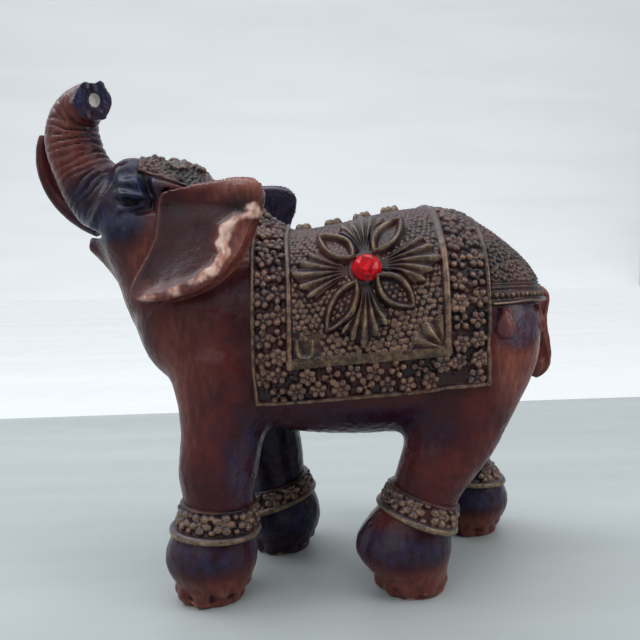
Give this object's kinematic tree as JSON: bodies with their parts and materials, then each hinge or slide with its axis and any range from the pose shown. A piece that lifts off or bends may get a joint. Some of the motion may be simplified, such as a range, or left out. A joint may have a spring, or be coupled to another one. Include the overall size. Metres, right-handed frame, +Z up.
{
  "type": "elephant figurine",
  "caption": "Small standing elephant figurine with a raised trunk, beaded saddle cloth, head cap, anklets and a red stone set in a rosette on its flank.",
  "frame": {"origin": "centre of the bottom face of the figurine's bounding box, on the ground", "axes": "+Z up, -X the way the animal faces, -Y its left side"},
  "size_m": [0.1062, 0.0472, 0.099],
  "materials": {
    "body_resin": "hand-painted red-brown, dark blue in the hollows",
    "nail_resin": "red-brown, rubbed pale at the ground",
    "eye_paint": "glossy near-black paint",
    "cloth_paint": "brown paint rubbed with bronze",
    "relief_paint": "antique gold paint over brown",
    "set_stone": "faceted, foil-backed"
  },
  "bodies": {
    "root": {"torso": "body_resin", "head": "body_resin", "lower_jaw": "body_resin", "trunk": "body_resin", "tusk_right": "body_resin", "ear_left": "body_resin", "ear_right": "body_resin", "leg_front_left": "body_resin", "leg_front_right": "body_resin", "leg_hind_left": "body_resin", "leg_hind_right": "body_resin", "tail": "body_resin", "toenails_front_left": "nail_resin", "toenails_front_right": "nail_resin", "toenails_hind_left": "nail_resin", "toenails_hind_right": "nail_resin", "eye_left": "eye_paint", "eye_right": "eye_paint", "saddle_cloth": "cloth_paint", "beaded_field": "cloth_paint", "rump_cloth": "cloth_paint", "head_cap": "cloth_paint", "outer_piping": "relief_paint", "inner_piping": "relief_paint", "corner_leaves": "relief_paint", "spine_studs": "relief_paint", "rosette_left": "relief_paint", "rosette_right": "relief_paint", "border_flowers_left": "relief_paint", "border_flowers_right": "relief_paint", "rump_hem": "relief_paint", "rump_tassels": "relief_paint", "cap_ornament": "relief_paint", "anklet_front_left": "relief_paint", "anklet_front_right": "relief_paint", "anklet_hind_left": "relief_paint", "anklet_hind_right": "relief_paint", "stone_left": "set_stone", "stone_right": "set_stone"}
  },
  "joints": []
}
